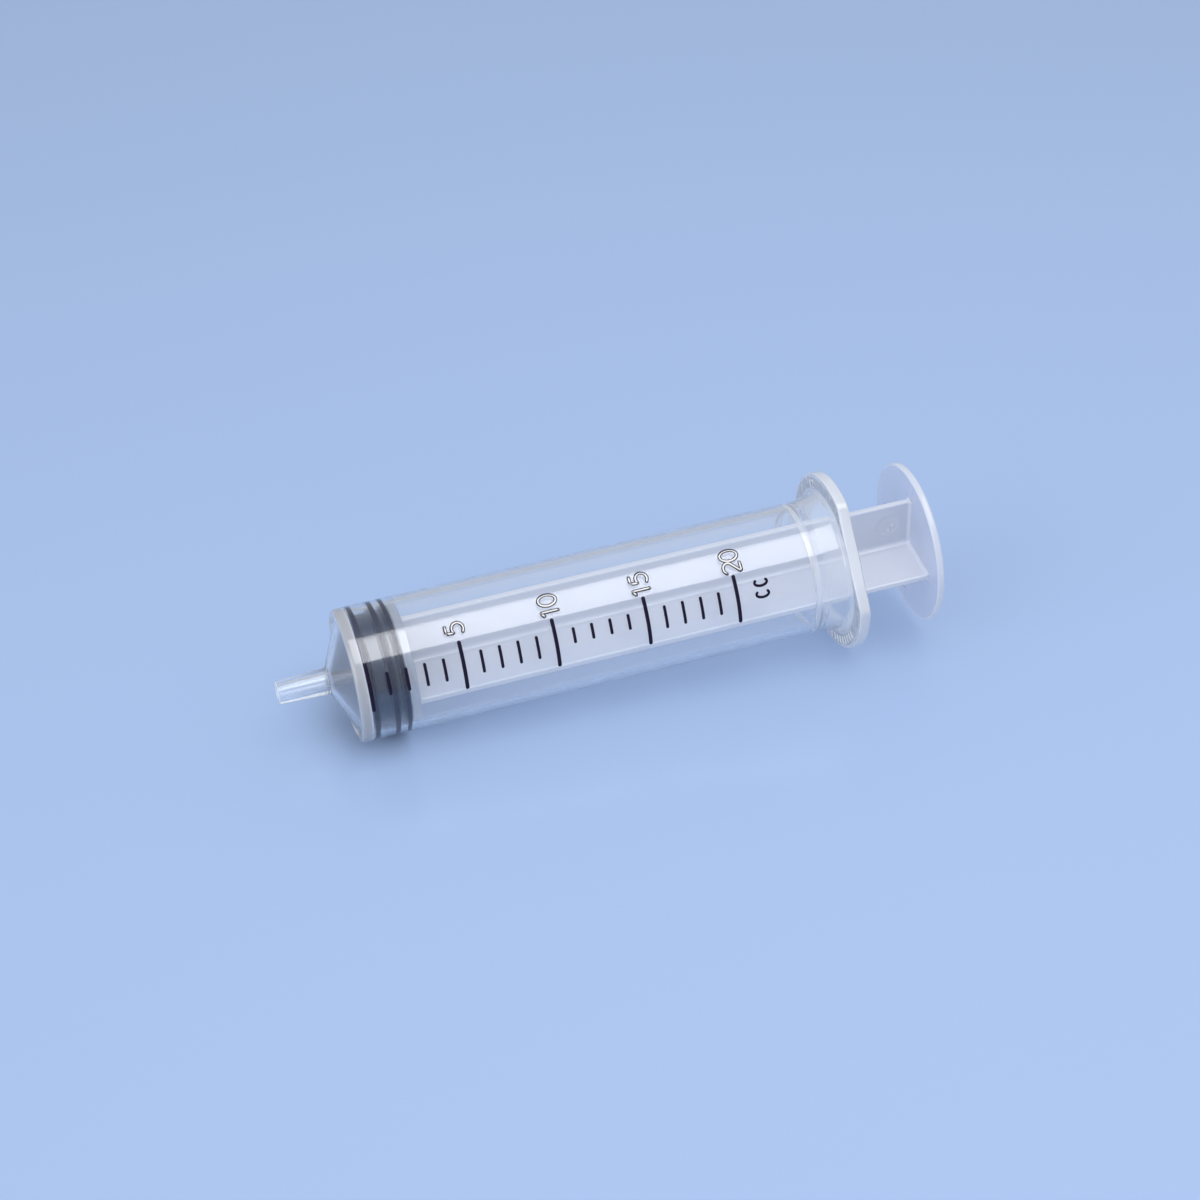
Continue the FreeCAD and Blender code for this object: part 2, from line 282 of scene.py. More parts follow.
@dataclass
class Stroke:
    """One pen stroke: its path in its own plane, its width and whether it closes."""

    path: np.ndarray
    width: float
    closed: bool = False

    def ribbon(self, film: float,
               lay: Callable[[np.ndarray, np.ndarray], np.ndarray]) -> np.ndarray:
        """A low flat-topped ribbon along the path.

        Each ring of the ribbon is a hexagon across the path, its top half as wide as its
        middle and its foot sunk into the face. An open stroke ends in half circles, where
        the width falls as the square root of one less the square.

        Args:
            film: Height of the ribbon in mm.
            lay: Gives the points in space for places in the plane and heights over it.

        Returns:
            A grid of rings in the syringe's own millimetres.
        """
        path, half = self.path, self.width / 2
        share = np.ones(len(path))
        if self.closed:
            tangent = np.roll(path, -1, axis=0) - np.roll(path, 1, axis=0)
        else:
            tangent = np.gradient(path, axis=0)
        tangent = tangent / np.linalg.norm(tangent, axis=1, keepdims=True)
        if not self.closed:
            step = np.sin(np.linspace(0.0, math.pi / 2, CAP_STEPS))
            first = path[0] + tangent[0] * half * (1.0 - step[::-1])[:, None]
            last = path[-1] - tangent[-1] * half * (1.0 - step)[:, None]
            cap = np.sqrt(np.maximum(1.0 - step ** 2, 1e-4))
            path = np.concatenate([first, path[1:-1], last])
            tangent = np.concatenate([np.repeat(tangent[:1], CAP_STEPS, axis=0),
                                      tangent[1:-1],
                                      np.repeat(tangent[-1:], CAP_STEPS, axis=0)])
            share = np.concatenate([cap[::-1], share[1:-1], cap])
        across = np.stack([-tangent[:, 1], tangent[:, 0]], axis=-1)
        offset = RIBBON_ACROSS * half * share[:, None]
        place = path[:, None, :] + across[:, None, :] * offset[..., None]
        return lay(place, np.broadcast_to(RIBBON_UP * film, place.shape[:2]))


def pen_paths(character: str, wide: float) -> list[tuple[np.ndarray, bool]]:
    """A character's pen paths in a box of height 1.

    Args:
        character: One of 0, 1, 2, 5 and c.
        wide: Width of the box.

    Returns:
        Pairs of a path, as (across, up) points, and whether it closes.
    """
    turn = np.linspace(0.0, FULL_TURN, 48, endpoint=False)
    if character == "0":
        oval = np.stack([wide / 2 * (1.0 + np.cos(turn)), 0.5 + 0.5 * np.sin(turn)], axis=-1)
        return [(oval, True)]
    if character == "1":
        stem = np.linspace([wide * 0.62, 1.08], [wide * 0.62, -0.08], 16)
        flag = np.linspace([wide * 0.62, 1.04], [wide * 0.18, 0.80], 8)
        return [(stem, False), (flag, False)]
    if character == "5":
        bowl_turn = np.radians(np.linspace(128.0, -146.0, 32))
        bowl = np.stack([wide * (0.46 + 0.54 * np.cos(bowl_turn)),
                         0.325 + 0.325 * np.sin(bowl_turn)], axis=-1)
        back = np.linspace([wide * 0.19, 1.0], bowl[0], 12)
        top = np.linspace([wide * 0.94, 1.0], [wide * 0.19, 1.0], 10)
        return [(top, False), (np.concatenate([back[:-1], bowl]), False)]
    if character == "2":
        head_turn = np.radians(np.linspace(168.0, -32.0, 26))
        head = np.stack([wide * (0.5 + 0.48 * np.cos(head_turn)),
                         0.71 + 0.29 * np.sin(head_turn)], axis=-1)
        fall = np.linspace(head[-1], [0.02 * wide, 0.0], 16)
        foot = np.linspace([0.02 * wide, 0.0], [wide, 0.0], 12)
        return [(np.concatenate([head[:-1], fall]), False), (foot, False)]
    hook_turn = np.radians(np.linspace(42.0, 318.0, 36))
    hook = np.stack([0.27 + 0.27 * np.cos(hook_turn), 0.5 + 0.5 * np.sin(hook_turn)], axis=-1)
    return [(hook, False)]


@dataclass(frozen=True)
class Lettering:
    """A pen for short words: height and width of a character, its step and its stroke."""

    height: float
    width: float
    advance: float
    stroke: float

    def word(self, text: str, corner: tuple[float, float], right: tuple[float, float],
             up: tuple[float, float]) -> list[Stroke]:
        """Strokes of a few characters in a plane.

        Args:
            text: The characters.
            corner: Lower left corner of the first one's pen path.
            right: The plane's direction in which the word runs.
            up: The plane's direction towards the characters' tops.

        Returns:
            The strokes.
        """
        strokes = []
        for index, character in enumerate(text):
            for path, closed in pen_paths(character, self.width / self.height):
                across = path[:, 0] * self.height + index * self.advance
                laid = np.array(corner) + np.outer(across, right) \
                    + np.outer(path[:, 1] * self.height, up)
                strokes.append(Stroke(laid, self.stroke, closed))
        return strokes


# Finishes


class Nodes:
    """A node tree under construction, with short ways to add and join nodes."""

    def __init__(self, tree: bpy.types.NodeTree) -> None:
        """Starts on an empty tree."""
        self.tree = tree
        tree.nodes.clear()

    def add(self, kind: str, settings: Optional[dict] = None,
            **values: object) -> bpy.types.Node:
        """Adds a node.

        Args:
            kind: The node's type, as bpy names it.
            settings: Properties of the node itself.
            **values: Values or source sockets of inputs, with _ for a space in a name.

        Returns:
            The new node.
        """
        node = self.tree.nodes.new(kind)
        for name, value in (settings or {}).items():
            setattr(node, name, value)
        for name, value in values.items():
            key = int(name[1:]) if name[0] == "n" and name[1:].isdigit() \
                else name.replace("_", " ")
            if isinstance(value, bpy.types.NodeSocket):
                self.tree.links.new(value, node.inputs[key])
            else:
                node.inputs[key].default_value = value
        return node

    def math(self, operation: str, *terms: object) -> bpy.types.NodeSocket:
        """The result of a Math node on these terms."""
        values = {f"n{index}": term for index, term in enumerate(terms)}
        return self.add("ShaderNodeMath", {"operation": operation}, **values).outputs[0]

    def blend(self, factor: bpy.types.NodeSocket, first: Sequence[float],
              second: Sequence[float]) -> bpy.types.NodeSocket:
        """The colour between two others, at a factor."""
        return self.add("ShaderNodeMix", {"data_type": "RGBA"}, n0=factor,
                        n6=(*first, 1.0), n7=(*second, 1.0)).outputs[2]


def new_material(name: str) -> tuple[bpy.types.Material, Nodes]:
    """A material whose node tree is empty, and that tree under construction."""
    material = bpy.data.materials.new(name)
    material.use_nodes = True
    return material, Nodes(material.node_tree)


def moulded_skin() -> bpy.types.NodeTree:
    """The shader node group for a moulded or printed skin.

    Roughness wanders slowly over the surface and rises in faint drawn-out scuffs, and the
    height adds a soft waviness to a fine grain. Haze is a mask of cloudier plastic.

    Returns:
        The group, with its inputs Place, Roughness, Scuffs, Waviness and Grain.
    """
    name = "moulded skin"
    if name in bpy.data.node_groups:
        return bpy.data.node_groups[name]
    group = bpy.data.node_groups.new(name, "ShaderNodeTree")
    face = group.interface
    face.new_socket("Place", in_out="INPUT", socket_type="NodeSocketVector")
    for label, default in (("Roughness", 0.1), ("Scuffs", 0.1), ("Waviness", 1.0),
                           ("Grain", 0.3)):
        face.new_socket(label, in_out="INPUT",
                        socket_type="NodeSocketFloat").default_value = default
    for label in ("Roughness", "Height", "Haze"):
        face.new_socket(label, in_out="OUTPUT", socket_type="NodeSocketFloat")
    nodes = Nodes(group)
    given = nodes.add("NodeGroupInput")
    out = nodes.add("NodeGroupOutput")
    place = given.outputs["Place"]
    clouds = nodes.add("ShaderNodeTexNoise", Vector=place, Scale=95.0, Detail=2.0)
    grain = nodes.add("ShaderNodeTexNoise", Vector=place, Scale=2600.0, Detail=3.0)
    drawn = nodes.add("ShaderNodeMapping", Vector=place, Scale=(60.0, 900.0, 900.0))
    streaks = nodes.add("ShaderNodeTexNoise", Vector=drawn.outputs[0], Scale=1.0, Detail=4.0)
    scuff = nodes.add("ShaderNodeMapRange", Value=streaks.outputs["Fac"],
                      From_Min=0.58, From_Max=0.78)
    spread = nodes.math("MULTIPLY", clouds.outputs["Fac"], 0.5)
    spread = nodes.math("ADD", spread, 0.75)
    base = nodes.math("MULTIPLY", spread, given.outputs["Roughness"])
    rise = nodes.math("MULTIPLY", scuff.outputs[0], given.outputs["Scuffs"])
    nodes.tree.links.new(nodes.math("ADD", base, rise), out.inputs["Roughness"])
    wave = nodes.math("MULTIPLY", clouds.outputs["Fac"], given.outputs["Waviness"])
    fine = nodes.math("MULTIPLY", grain.outputs["Fac"], given.outputs["Grain"])
    nodes.tree.links.new(nodes.math("ADD", wave, fine), out.inputs["Height"])
    nodes.tree.links.new(clouds.outputs["Fac"], out.inputs["Haze"])
    return group


def skin_nodes(nodes: Nodes, roughness: float, scuffs: float, waviness: float, grain: float,
               depth: float) -> tuple[bpy.types.Node, bpy.types.Node]:
    """Places the moulded skin group and its bump in a material.

    Args:
        nodes: The material's nodes.
        roughness: Base roughness.
        scuffs: Extra roughness in the scuffs.
        waviness: Share of soft waves in the height.
        grain: Share of fine grain in the height.
        depth: Depth of the bump in metres.

    Returns:
        The group's node and the Bump node.
    """
    where = nodes.add("ShaderNodeTexCoord")
    skin = nodes.add("ShaderNodeGroup", {"node_tree": moulded_skin()},
                     Place=where.outputs["Object"], Roughness=roughness, Scuffs=scuffs,
                     Waviness=waviness, Grain=grain)
    bump = nodes.add("ShaderNodeBump", Height=skin.outputs["Height"], Distance=depth)
    return skin, bump


@dataclass(frozen=True)
class ClearPlastic:
    """See-through moulded plastic, which lets the lamps reach what is behind it.

    Clearness is the share that is seen through, glow the share that is lit from behind,
    and the colour wanders between tint and cloud.
    """

    name: str
    tint: tuple[float, float, float]
    cloud: tuple[float, float, float]
    clearness: float
    glow: float
    lamp_share: tuple[float, float, float]
    roughness: float = 0.05
    coat: float = 0.4
    scuffs: float = 0.08
    bump_depth: float = 0.00001
    ior: float = 1.49
    coat_roughness: float = 0.12

    def material(self) -> bpy.types.Material:
        """Builds the material.

        Returns:
            A Principled shader that transmits, with a share of Translucent for the light
            that the cloudy plastic passes on, and Transparent for lamp and diffuse rays.
        """
        if self.name in bpy.data.materials:
            return bpy.data.materials[self.name]
        material, nodes = new_material(self.name)
        skin, bump = skin_nodes(nodes, self.roughness, self.scuffs, 1.0, 0.12,
                                self.bump_depth)
        colour = nodes.blend(skin.outputs["Haze"], self.tint, self.cloud)
        plastic = nodes.add("ShaderNodeBsdfPrincipled", Base_Color=colour,
                            Roughness=skin.outputs["Roughness"], IOR=self.ior,
                            Transmission_Weight=self.clearness, Coat_Weight=self.coat,
                            Coat_Roughness=self.coat_roughness, Normal=bump.outputs[0])
        clear = nodes.add("ShaderNodeBsdfTransparent", Color=(*self.lamp_share, 1.0))
        path = nodes.add("ShaderNodeLightPath")
        through = nodes.math("MAXIMUM", path.outputs["Is Shadow Ray"],
                             path.outputs["Is Diffuse Ray"])
        milk = nodes.add("ShaderNodeBsdfTranslucent", Color=colour)
        body = nodes.add("ShaderNodeMixShader", n0=self.glow, n1=plastic.outputs[0],
                         n2=milk.outputs[0])
        mix = nodes.add("ShaderNodeMixShader", n0=through, n1=body.outputs[0],
                        n2=clear.outputs[0])
        nodes.add("ShaderNodeOutputMaterial", Surface=mix.outputs[0])
        return material


@dataclass(frozen=True)
class Rubber:
    """Dark grey oiled rubber of the stopper."""

    name: str
    dark: tuple[float, float, float]
    worn: tuple[float, float, float]
    roughness: float = 0.42
    ior: float = 1.38
    coat: float = 0.8
    coat_roughness: float = 0.15
    bump_depth: float = 0.00003

    def material(self) -> bpy.types.Material:
        """Builds the material: mottled rubber under a thin film of oil."""
        material, nodes = new_material(self.name)
        skin, bump = skin_nodes(nodes, self.roughness, 0.18, 0.6, 0.5, self.bump_depth)
        rubber = nodes.add("ShaderNodeBsdfPrincipled", IOR=self.ior,
                           Base_Color=nodes.blend(skin.outputs["Haze"], self.dark, self.worn),
                           Roughness=skin.outputs["Roughness"], Coat_Weight=self.coat,
                           Coat_Roughness=self.coat_roughness, Normal=bump.outputs[0])
        nodes.add("ShaderNodeOutputMaterial", Surface=rubber.outputs[0])
        return material


@dataclass(frozen=True)
class Ink:
    """Glossy near-black printing ink, a little thinner in places."""

    name: str
    solid: tuple[float, float, float]
    thin: tuple[float, float, float]
    ior: float
    coat: float
    roughness: float = 0.12
    coat_roughness: float = 0.05
    coat_ior: float = 1.6
    bump_depth: float = 0.000008

    def material(self) -> bpy.types.Material:
        """Builds the material: a dark film whose thin spots are lighter and duller."""
        material, nodes = new_material(self.name)
        skin, bump = skin_nodes(nodes, self.roughness, 0.2, 0.4, 0.5, self.bump_depth)
        ink = nodes.add("ShaderNodeBsdfPrincipled", IOR=self.ior,
                        Base_Color=nodes.blend(skin.outputs["Haze"], self.solid, self.thin),
                        Roughness=skin.outputs["Roughness"], Coat_Weight=self.coat,
                        Coat_Roughness=self.coat_roughness, Coat_IOR=self.coat_ior,
                        Normal=bump.outputs[0])
        nodes.add("ShaderNodeOutputMaterial", Surface=ink.outputs[0])
        return material


# How much of a lamp's light each kind of plastic lets through
THIN_SHARE = (0.97, 0.975, 0.98)
MILD_SHARE = (0.93, 0.94, 0.95)
WING_SHARE = (0.90, 0.91, 0.93)
ROD_SHARE = (0.80, 0.81, 0.84)

WALL_PLASTIC = ClearPlastic(
    name="clear barrel plastic", tint=(0.965, 0.98, 1.0), cloud=(0.94, 0.965, 1.0),
    clearness=0.935, glow=0.015, lamp_share=THIN_SHARE, coat=0.3)
OILED_PLASTIC = ClearPlastic(
    name="oiled barrel plastic", tint=(0.955, 0.975, 1.0), cloud=(0.93, 0.96, 1.0),
    clearness=0.994, glow=0.0, lamp_share=THIN_SHARE)
NOSE_PLASTIC = ClearPlastic(
    name="nose plastic", tint=(0.955, 0.975, 1.0), cloud=(0.93, 0.96, 1.0),
    clearness=0.93, glow=0.02, lamp_share=MILD_SHARE)
RIM_PLASTIC = ClearPlastic(
    name="nose rim plastic", tint=(0.98, 0.985, 1.0), cloud=(0.96, 0.97, 1.0),
    clearness=0.67, glow=0.06, roughness=0.06, lamp_share=WING_SHARE, coat=0.7)
WING_PLASTIC = ClearPlastic(
    name="flange plastic", tint=(0.97, 0.985, 1.0), cloud=(0.94, 0.965, 1.0),
    clearness=0.75, glow=0.14, roughness=0.06, lamp_share=WING_SHARE, coat=0.6)
# Whiter plastic in the flared mouth, a painted highlight of its bright cones.
MOUTH_HIGHLIGHT_PLASTIC = ClearPlastic(
    name="mouth plastic, painted highlight", tint=(0.965, 0.98, 1.0), cloud=(0.94, 0.965, 1.0),
    clearness=0.85, glow=0.06, roughness=0.09, lamp_share=MILD_SHARE, coat=0.3)
# Whitest plastic: cloudy at the tip's end, the flange's rim and the raised number; on the
# ridge tops a painted glint.
THICK_AND_GLINT_PLASTIC = ClearPlastic(
    name="thick barrel plastic, painted glint", tint=(0.99, 0.99, 1.0), cloud=(0.97, 0.975, 1.0),
    clearness=0.36, glow=0.16, roughness=0.12, lamp_share=(0.85, 0.86, 0.87), coat=0.5)
ROD_PLASTIC = ClearPlastic(
    name="milky rod plastic", tint=(0.91, 0.91, 0.96), cloud=(0.88, 0.89, 0.95),
    clearness=0.44, glow=0.20, roughness=0.20, lamp_share=ROD_SHARE)
# Whiter plastic for the rod's edges; at the fins' ends, the pips and the thumb disc's rim it
# is a painted highlight.
ROD_EDGE_AND_HIGHLIGHT_PLASTIC = ClearPlastic(
    name="rod edge plastic, painted highlight", tint=(0.95, 0.96, 1.0), cloud=(0.92, 0.94, 0.99),
    clearness=0.34, glow=0.20, roughness=0.25, lamp_share=ROD_SHARE, scuffs=0.02)
DISC_PLASTIC = ClearPlastic(
    name="thumb disc plastic", tint=(0.86, 0.89, 1.0), cloud=(0.80, 0.84, 0.97),
    clearness=0.58, glow=0.15, roughness=0.16, lamp_share=ROD_SHARE)
BARREL_FINISHES = {Grade.WALL: WALL_PLASTIC, Grade.OILED: OILED_PLASTIC,
                   Grade.NOSE: NOSE_PLASTIC, Grade.RIM: RIM_PLASTIC,
                   Grade.WING: WING_PLASTIC, Grade.THICK: THICK_AND_GLINT_PLASTIC,
                   Grade.MOUTH: MOUTH_HIGHLIGHT_PLASTIC}
ROD_FINISHES = {RodGrade.MILKY: ROD_PLASTIC, RodGrade.EDGE: ROD_EDGE_AND_HIGHLIGHT_PLASTIC,
                RodGrade.DISC: DISC_PLASTIC, RodGrade.CLEAR: WING_PLASTIC}
# Both rubbers are tinted strongly blue, a painted cast of the blue floor and sky on rubber
# that is dark grey.
RIB_RUBBER = Rubber("stopper rubber", (0.0006, 0.004, 0.030), (0.002, 0.010, 0.046))
# The grooves' paler rubber is a painted reflection of the bore across their air gap.
GROOVE_REFLECTION_RUBBER = Rubber("stopper groove rubber, painted reflection", (0.002, 0.016, 0.048),
                       (0.007, 0.028, 0.076))
LINE_INK = Ink("scale ink", (0.007, 0.004, 0.018), (0.015, 0.009, 0.034), 1.28, 0.0)
# The numerals' edges are a darker, dull ink: a painted shade outline, dark where the glossy
# tops catch the softbox.
SHADE_EDGE_INK = Ink("numeral edge ink, painted shade", (0.004, 0.002, 0.012), (0.008, 0.004, 0.022), 1.08, 0.0)
TOP_INK = Ink("numeral ink", (0.010, 0.008, 0.016), (0.022, 0.016, 0.032), 2.5, 1.0)


# Pieces


@dataclass
class Barrel:
    """The clear moulding: luer tip, nose, tube, stop bead, flared mouth and flange."""

    place: Matrix
    tip_end_x: float = TIP_ROOT_X - 8.498
    tip_end_radius: float = 1.98
    tip_bore_radius: float = 1.1
    rim_x: float = -2.2
    rim_radius: float = 10.24
    rim_foot_radius: float = 9.84
    oiled_to_x: float = STOPPER_REAR_X + 1.6
    bead_x: float = 76.6
    bead_half_width: float = 0.65
    bead_top_half_width: float = 0.25
    bead_height: float = 0.35
    mouth_x: float = 78.1
    mouth_radius: float = 10.75
    lead_in: float = 0.75
    collar_x: float = 81.2
    collar_radius: float = 11.79
    collar_foot_radius: float = 12.49
    flange_x: float = 81.9
    flange_rear_x: float = 83.9
    flange_radius: float = 15.245
    flange_half_width: float = 12.3
    flange_edge: float = 0.35
    flange_root: float = 12.1
    corner_blend: float = 0.22
    ridge_turn: float = 90.0
    ridge_count: int = 9
    ridge_spread: float = 46.0
    ridge_height: float = 0.28
    ridge_half_width: float = 0.34
    ridge_inner: float = 12.84
    ridge_outer: float = 14.55
    number_turn: float = 274.2
    number_foot: float = 12.85
    number_height: float = 0.12
    number_pen: Lettering = Lettering(1.3, 0.8, 1.25, 0.26)
    fine_step: float = 0.3
    coarse_step: float = 1.25
    fine_margin: float = 4.0
    nose_rear_x: float = -0.4
    crest_share: float = 0.55

    def corners(self) -> list[Corner]:
        """The half profile's corners, out along the outside and back along the bore."""
        bore_x = nose_x(BORE_RADIUS) + NOSE_WALL_X
        bead_low, bead_high = BORE_RADIUS, BORE_RADIUS - self.bead_height
        return [
            Corner(self.tip_end_x, self.tip_bore_radius, 0.12),
            Corner(self.tip_end_x, self.tip_end_radius, 0.2),
            Corner(TIP_ROOT_X, TIP_ROOT_RADIUS, 0.4),
            Corner(nose_x(self.rim_foot_radius), self.rim_foot_radius, 0.15),
            Corner(self.rim_x, self.rim_radius, 0.15),
            Corner(self.rim_x, BARREL_RADIUS, 0.65),
            Corner(bore_x, BARREL_RADIUS),
            Corner(self.oiled_to_x, BARREL_RADIUS),
            Corner(self.mouth_x, BARREL_RADIUS, 2.0),
            Corner(self.collar_x, self.collar_radius, 0.5),
            Corner(self.flange_x, self.collar_foot_radius, 0.3),
            Corner(self.flange_x, self.flange_radius, self.flange_edge),
            Corner(self.flange_rear_x, self.flange_radius, self.flange_edge),
            Corner(self.flange_rear_x, self.mouth_radius + self.lead_in, 0.2),
            Corner(self.flange_rear_x - self.lead_in, self.mouth_radius, 0.3),
            Corner(self.mouth_x, BORE_RADIUS, 1.0),
            Corner(self.bead_x + self.bead_half_width, bead_low, 0.15),
            Corner(self.bead_x + self.bead_top_half_width, bead_high, 0.15),
            Corner(self.bead_x - self.bead_top_half_width, bead_high, 0.15),
            Corner(self.bead_x - self.bead_half_width, bead_low, 0.15),
            Corner(self.oiled_to_x, BORE_RADIUS),
            Corner(bore_x, BORE_RADIUS, 0.45),
            Corner(nose_x(self.tip_bore_radius) + NOSE_WALL_X, self.tip_bore_radius, 0.2),
        ]

    def turns(self) -> np.ndarray:
        """Turns about the axis of the columns, close together where the ridges are."""
        zone = self.ridge_spread / 2 + self.fine_margin
        start, end = self.ridge_turn - zone, self.ridge_turn + zone
        fine = np.arange(start, end, self.fine_step)
        rest = np.arange(end, start + 360.0, self.coarse_step)
        return np.radians(np.concatenate([fine, rest]))

    def outline(self, turn: np.ndarray) -> np.ndarray:
        """Radius of the flange's outline at each turn: a circle with two flats.

        It is the soft lesser of the circle and the flats' distance over the cosine of the
        turn, taken by exponents so that the corner between them is rounded.
        """
        flats = self.flange_half_width / np.maximum(np.abs(np.cos(turn)), 0.3)
        near = np.exp((self.flange_radius - flats) / self.corner_blend)
        return self.flange_radius - self.corner_blend * np.log1p(near)

    def mesh(self) -> bpy.types.Object:
        """Builds the barrel as one closed grid.

        Rows follow the half profile and columns go round the axis. On the flange, radii
        beyond its root are drawn in to the outline, the rim's rounding last, and the
        front face rises in a row of radial ridges.

        Returns:
            The barrel's object.
        """
        run = rounded_run(self.corners(), closed=True)
        face = np.abs(run[:, 0] - self.flange_x) < 1e-6
        first = int(np.nonzero(face)[0][0])
        ladder = np.linspace(self.ridge_inner - 0.12, self.ridge_outer + 0.12, 14)
        rungs = np.stack([np.full(ladder.shape, self.flange_x), ladder], axis=-1)
        run = np.concatenate([run[:first + 1], rungs, run[first + 1:]])
        on_face = np.abs(run[:, 0] - self.flange_x) < 1e-6
        x, radius = run[:, :1], run[:, 1:]
        turn = self.turns()[None, :]
        outline = self.outline(turn)
        near_edge = self.flange_radius - self.flange_edge
        rounding = np.minimum(1.0, (outline - self.flange_root) / (self.flange_edge + 0.25))
        share = (radius - self.flange_root) / (near_edge - self.flange_root)
        on_wing = self.flange_root + share * (
            outline - self.flange_edge * rounding - self.flange_root)
        on_rim = outline - (self.flange_radius - radius) * rounding
        drawn = np.where(radius > near_edge, on_rim, on_wing)
        drawn = np.where(radius > self.flange_root, drawn, radius)
        pitch = self.ridge_spread / (self.ridge_count - 1)
        from_middle = np.degrees(turn) - self.ridge_turn
        nearest = np.round(from_middle / pitch).clip(-(self.ridge_count // 2),
                                                      self.ridge_count // 2)
        aside = np.radians(from_middle - nearest * pitch) * drawn
        crest = np.clip(1.0 - np.abs(aside) / self.ridge_half_width, 0.0, 1.0)
        ends = np.clip((drawn - self.ridge_inner) / 0.2, 0.0, 1.0) \
            * np.clip((self.ridge_outer - drawn) / 0.2, 0.0, 1.0)
        lift = np.where(on_face[:, None], crest * ends * self.ridge_height, 0.0)
        surface = Surface()
        surface.add(around(x - lift, drawn, turn), wrap_rows=True)
        return surface.piece("barrel_moulding", self.place,
                             [BARREL_FINISHES[grade].material() for grade in Grade],
                             self.thickness)

    def number(self) -> bpy.types.Object:
        """A small plain number, raised on the front face of the wing without ridges.

        It stands on the face's plane, with its middle on the number's turn, reading
        round the axis and with its tops to the rim.

        Returns:
            The number's object.
        """
        pen, turn = self.number_pen, math.radians(self.number_turn)
        radial = np.array([-math.cos(turn), -math.sin(turn)])
        along = np.array([math.sin(turn), -math.cos(turn)])

        def lay(place: np.ndarray, height: np.ndarray) -> np.ndarray:
            """Points on the flange's front face: along times u plus radial times v."""
            flat = place[..., :1] * along + place[..., 1:] * radial
            return np.concatenate([(self.flange_x - height)[..., None], flat], axis=-1)

        surface = Surface()
        left = -(pen.advance + pen.width) / 2
        for stroke in pen.word("12", (left, self.number_foot), (1.0, 0.0), (0.0, 1.0)):
            surface.add(stroke.ribbon(self.number_height, lay), wrap_rows=stroke.closed,
                        caps=not stroke.closed)
        piece = surface.piece("raised_number", self.place, [THICK_AND_GLINT_PLASTIC.material()])
        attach(piece, "barrel")
        return piece

    def thickness(self, middles: np.ndarray) -> np.ndarray:
        """Picks the plastic's grade for each part of the moulding.

        The wall is clearest where the stopper's oil wets it. The nose cone is a little
        cloudy, the flared mouth more, then the flange's faces, the nose's rim and the
        stop bead, and the tip's end, the flange's edge and the ridge tops most. The flared
        mouth's whiter plastic is a painted highlight, and the whitest plastic on the ridge
        tops a painted glint.
        """
        x = middles[:, 0]
        radius = np.hypot(middles[:, 1], middles[:, 2])
        nose = x < self.nose_rear_x
        corner = nose & (radius > self.rim_foot_radius - 0.1)
        tip_end = x < self.tip_end_x + 0.15
        bead = (radius < BORE_RADIUS - 0.02) & (np.abs(x - self.bead_x) < 1.0)
        flange_front = self.flange_x - 0.4
        # The flare's whiter plastic is a painted highlight.
        flare = (x > self.mouth_x + 0.3) & (x < flange_front)
        flange = x > flange_front
        ridges = flange & (x < self.flange_x - 0.01) & (radius > self.ridge_inner - 0.1)
        # The ridge tops' whitest plastic is a painted glint.
        crest_glints = ridges & (x < self.flange_x - self.crest_share * self.ridge_height)
        rim = (x > self.flange_x + 0.1) & (x < self.flange_rear_x - 0.1) \
            & (radius > self.collar_foot_radius - 0.5)
        return np.select(
            [crest_glints | tip_end | rim, ridges, corner | bead, flange, flare, nose,
             x < self.oiled_to_x],
            [Grade.THICK, Grade.WALL, Grade.RIM, Grade.WING, Grade.MOUTH, Grade.NOSE,
             Grade.OILED],
            Grade.WALL).astype(np.int32)

    def dress(self) -> list[bpy.types.Object]:
        """Builds the barrel and its number, and gives them their body and node."""
        piece = self.mesh()
        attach(piece, "barrel")
        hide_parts("barrel")
        return [piece, self.number()]


